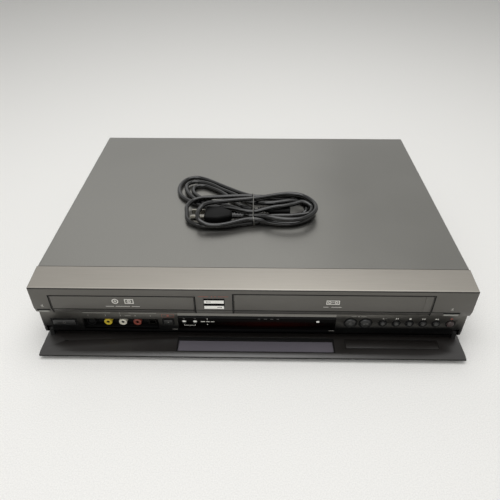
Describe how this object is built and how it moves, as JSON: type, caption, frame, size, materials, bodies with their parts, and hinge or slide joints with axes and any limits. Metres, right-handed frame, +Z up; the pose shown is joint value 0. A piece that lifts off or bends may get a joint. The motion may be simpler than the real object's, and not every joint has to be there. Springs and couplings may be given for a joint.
{
  "type": "dvd vcr combo player",
  "caption": "Disc recorder and tape deck in one low steel casing, with a drop-down front flap, a disc tray, a sprung cassette door and its mains lead tied on top.",
  "frame": {"origin": "middle of the footprint at table height, flap open and without the mains lead", "axes": "+Z up, -Y out of the front panel, +X to the right seen from the front"},
  "size_m": [0.4332, 0.355, 0.0999],
  "materials": {
    "cover_paint": "satin dark grey paint on folded steel",
    "plated_steel": "zinc-plated sheet",
    "bezel_plastic": "satin dark grey moulding",
    "flap_plastic": "satin dark grey-brown moulding",
    "tinted_pane": "tinted transparent pane",
    "smoked_window": "smoked acrylic",
    "display_glass": "evacuated glass tube",
    "foot_rubber": "moulded rubber",
    "black_screw": "blackened steel",
    "circuit_board": "fibreglass laminate with solder mask",
    "black_plastic": "black moulding",
    "yellow_plastic": "moulded insulator",
    "white_plastic": "moulded insulator",
    "red_plastic": "moulded insulator",
    "nickel": "nickel plating",
    "button_plastic": "satin moulded keys",
    "silver_plastic": "silver painted keys",
    "lit_white_plastic": "white moulded keys",
    "record_plastic": "record key, ringed in red",
    "tray_plastic": "satin black tray",
    "gear_plastic": "acetal",
    "drum_aluminium": "polished turned aluminium",
    "roller_rubber": "ground rubber",
    "cord_vinyl": "black vinyl",
    "tie_wire": "bare wire"
  },
  "bodies": {
    "casing": {"top_cover": "cover_paint", "bottom_chassis": "plated_steel", "rear_panel": "plated_steel", "front_bezel": "bezel_plastic", "feet": "foot_rubber", "cover_screws": "black_screw", "display_window": "smoked_window", "display_tube": "display_glass", "front_board": "circuit_board", "jack_bay": "black_plastic", "svideo_jack": "black_plastic", "video_jack": "yellow_plastic", "audio_left_jack": "white_plastic", "audio_right_jack": "red_plastic", "dv_jack": "nickel", "drive_chassis": "plated_steel", "clamp_bridge": "plated_steel", "deck_chassis": "plated_steel", "main_board": "circuit_board", "power_board": "circuit_board", "rear_jacks": "black_plastic", "ac_inlet": "black_plastic"},
    "flap": {"front_flap": "flap_plastic", "flap_window": "tinted_pane"},
    "tray": {"disc_tray": "tray_plastic", "tray_door": "bezel_plastic"},
    "tray_gear": {"tray_gear": "gear_plastic"},
    "turntable": {"turntable": "nickel"},
    "disc_clamp": {"disc_clamp": "black_plastic"},
    "pickup": {"pickup_sled": "black_plastic"},
    "cassette_door": {"cassette_door": "bezel_plastic"},
    "basket_slider": {"basket_slider": "plated_steel"},
    "basket": {"cassette_basket": "plated_steel"},
    "head_drum": {"head_drum": "drum_aluminium"},
    "capstan": {"capstan": "nickel"},
    "pinch_arm": {"pinch_arm": "plated_steel"},
    "pinch_roller": {"pinch_roller": "roller_rubber"},
    "supply_reel": {"supply_reel": "black_plastic"},
    "takeup_reel": {"takeup_reel": "black_plastic"},
    "lead": {"mains_lead": "cord_vinyl", "mains_plug": "cord_vinyl", "lead_connector": "cord_vinyl", "cord_tie": "tie_wire"},
    "power_button": {"power_button": "button_plastic"},
    "tray_button": {"tray_button": "silver_plastic"},
    "eject_button": {"eject_button": "silver_plastic"},
    "dub_to_disc_button": {"dub_to_disc_button": "lit_white_plastic"},
    "dub_to_tape_button": {"dub_to_tape_button": "lit_white_plastic"},
    "disc_record_button": {"disc_record_button": "button_plastic"},
    "channel_down_button": {"channel_down_button": "lit_white_plastic"},
    "channel_up_button": {"channel_up_button": "lit_white_plastic"},
    "disc_select_button": {"disc_select_button": "button_plastic"},
    "tape_select_button": {"tape_select_button": "button_plastic"},
    "pause_button": {"pause_button": "button_plastic"},
    "play_button": {"play_button": "button_plastic"},
    "stop_button": {"stop_button": "button_plastic"},
    "rewind_button": {"rewind_button": "button_plastic"},
    "forward_button": {"forward_button": "button_plastic"},
    "tape_record_button": {"tape_record_button": "record_plastic"}
  },
  "joints": [
    {"name": "flap_hinge", "type": "hinge", "parent": "casing", "child": "flap", "pos_m": [0, -0.1473, 0.0145], "axis": [-1, 0, 0], "range_deg": [0, 90]},
    {"name": "tray_slide", "type": "slide", "parent": "casing", "child": "tray", "axis": [0, -1, 0], "range_m": [0, 0.138]},
    {"name": "tray_gear_spin", "type": "hinge", "parent": "casing", "child": "tray_gear", "pos_m": [-0.1803, -0.12008, 0.051], "axis": [0, 0, 1], "continuous": true},
    {"name": "turntable_spin", "type": "hinge", "parent": "casing", "child": "turntable", "pos_m": [-0.1263, -0.0888, 0.045], "axis": [0, 0, 1], "continuous": true},
    {"name": "clamp_spin", "type": "hinge", "parent": "casing", "child": "disc_clamp", "pos_m": [-0.1263, -0.0888, 0.065], "axis": [0, 0, 1], "continuous": true},
    {"name": "pickup_slide", "type": "slide", "parent": "casing", "child": "pickup", "axis": [0, 1, 0], "range_m": [0, 0.034]},
    {"name": "cassette_door_hinge", "type": "hinge", "parent": "casing", "child": "cassette_door", "pos_m": [0.0784, -0.1542, 0.0756], "axis": [1, 0, 0], "range_deg": [0, 90], "stiffness_Nm_per_rad": 0.004, "springref_deg": -11.46},
    {"name": "basket_in", "type": "slide", "parent": "casing", "child": "basket_slider", "axis": [0, 1, 0], "range_m": [0, 0.06]},
    {"name": "basket_down", "type": "slide", "parent": "basket_slider", "child": "basket", "axis": [0, 0, -1], "range_m": [0, 0.022]},
    {"name": "drum_spin", "type": "hinge", "parent": "casing", "child": "head_drum", "pos_m": [0.0724, 0.03, 0.0255], "axis": [0.1045, 0, 0.9945], "continuous": true},
    {"name": "capstan_spin", "type": "hinge", "parent": "casing", "child": "capstan", "pos_m": [0.1284, -0.005, 0.012], "axis": [0, 0, 1], "continuous": true},
    {"name": "pinch_swing", "type": "hinge", "parent": "casing", "child": "pinch_arm", "pos_m": [0.1504, 0.012, 0.0195], "axis": [0, 0, 1], "range_deg": [0, 24]},
    {"name": "pinch_roller_spin", "type": "hinge", "parent": "pinch_arm", "child": "pinch_roller", "pos_m": [0.12944, 0.01068, 0.0195], "axis": [0, 0, 1], "continuous": true},
    {"name": "supply_spin", "type": "hinge", "parent": "casing", "child": "supply_reel", "pos_m": [0.0429, -0.0655, 0.0195], "axis": [0, 0, 1], "continuous": true},
    {"name": "takeup_spin", "type": "hinge", "parent": "casing", "child": "takeup_reel", "pos_m": [0.1139, -0.0655, 0.0195], "axis": [0, 0, 1], "continuous": true},
    {"name": "power_press", "type": "slide", "parent": "casing", "child": "power_button", "axis": [0, 1, 0], "range_m": [0, 0.0006], "stiffness_N_per_m": 300},
    {"name": "tray_press", "type": "slide", "parent": "casing", "child": "tray_button", "axis": [0, 1, 0], "range_m": [0, 0.0006], "stiffness_N_per_m": 300},
    {"name": "eject_press", "type": "slide", "parent": "casing", "child": "eject_button", "axis": [0, 1, 0], "range_m": [0, 0.0006], "stiffness_N_per_m": 300},
    {"name": "dub_to_disc_press", "type": "slide", "parent": "casing", "child": "dub_to_disc_button", "axis": [0, 1, 0], "range_m": [0, 0.0006], "stiffness_N_per_m": 300},
    {"name": "dub_to_tape_press", "type": "slide", "parent": "casing", "child": "dub_to_tape_button", "axis": [0, 1, 0], "range_m": [0, 0.0006], "stiffness_N_per_m": 300},
    {"name": "disc_record_press", "type": "slide", "parent": "casing", "child": "disc_record_button", "axis": [0, 1, 0], "range_m": [0, 0.0006], "stiffness_N_per_m": 300},
    {"name": "channel_down_press", "type": "slide", "parent": "casing", "child": "channel_down_button", "axis": [0, 1, 0], "range_m": [0, 0.0006], "stiffness_N_per_m": 300},
    {"name": "channel_up_press", "type": "slide", "parent": "casing", "child": "channel_up_button", "axis": [0, 1, 0], "range_m": [0, 0.0006], "stiffness_N_per_m": 300},
    {"name": "disc_select_press", "type": "slide", "parent": "casing", "child": "disc_select_button", "axis": [0, 1, 0], "range_m": [0, 0.0006], "stiffness_N_per_m": 300},
    {"name": "tape_select_press", "type": "slide", "parent": "casing", "child": "tape_select_button", "axis": [0, 1, 0], "range_m": [0, 0.0006], "stiffness_N_per_m": 300},
    {"name": "pause_press", "type": "slide", "parent": "casing", "child": "pause_button", "axis": [0, 1, 0], "range_m": [0, 0.0006], "stiffness_N_per_m": 300},
    {"name": "play_press", "type": "slide", "parent": "casing", "child": "play_button", "axis": [0, 1, 0], "range_m": [0, 0.0006], "stiffness_N_per_m": 300},
    {"name": "stop_press", "type": "slide", "parent": "casing", "child": "stop_button", "axis": [0, 1, 0], "range_m": [0, 0.0006], "stiffness_N_per_m": 300},
    {"name": "rewind_press", "type": "slide", "parent": "casing", "child": "rewind_button", "axis": [0, 1, 0], "range_m": [0, 0.0006], "stiffness_N_per_m": 300},
    {"name": "forward_press", "type": "slide", "parent": "casing", "child": "forward_button", "axis": [0, 1, 0], "range_m": [0, 0.0006], "stiffness_N_per_m": 300},
    {"name": "tape_record_press", "type": "slide", "parent": "casing", "child": "tape_record_button", "axis": [0, 1, 0], "range_m": [0, 0.0006], "stiffness_N_per_m": 300},
    {"name": "lead_lift", "type": "slide", "parent": "casing", "child": "lead", "axis": [0, 0, 1], "range_m": [0, 0.1]}
  ],
  "couplings": [
    {"joint": "tray_gear_spin", "follows": "tray_slide", "rad_per_m": -111.11},
    {"joint": "clamp_spin", "follows": "turntable_spin", "ratio": 1}
  ]
}
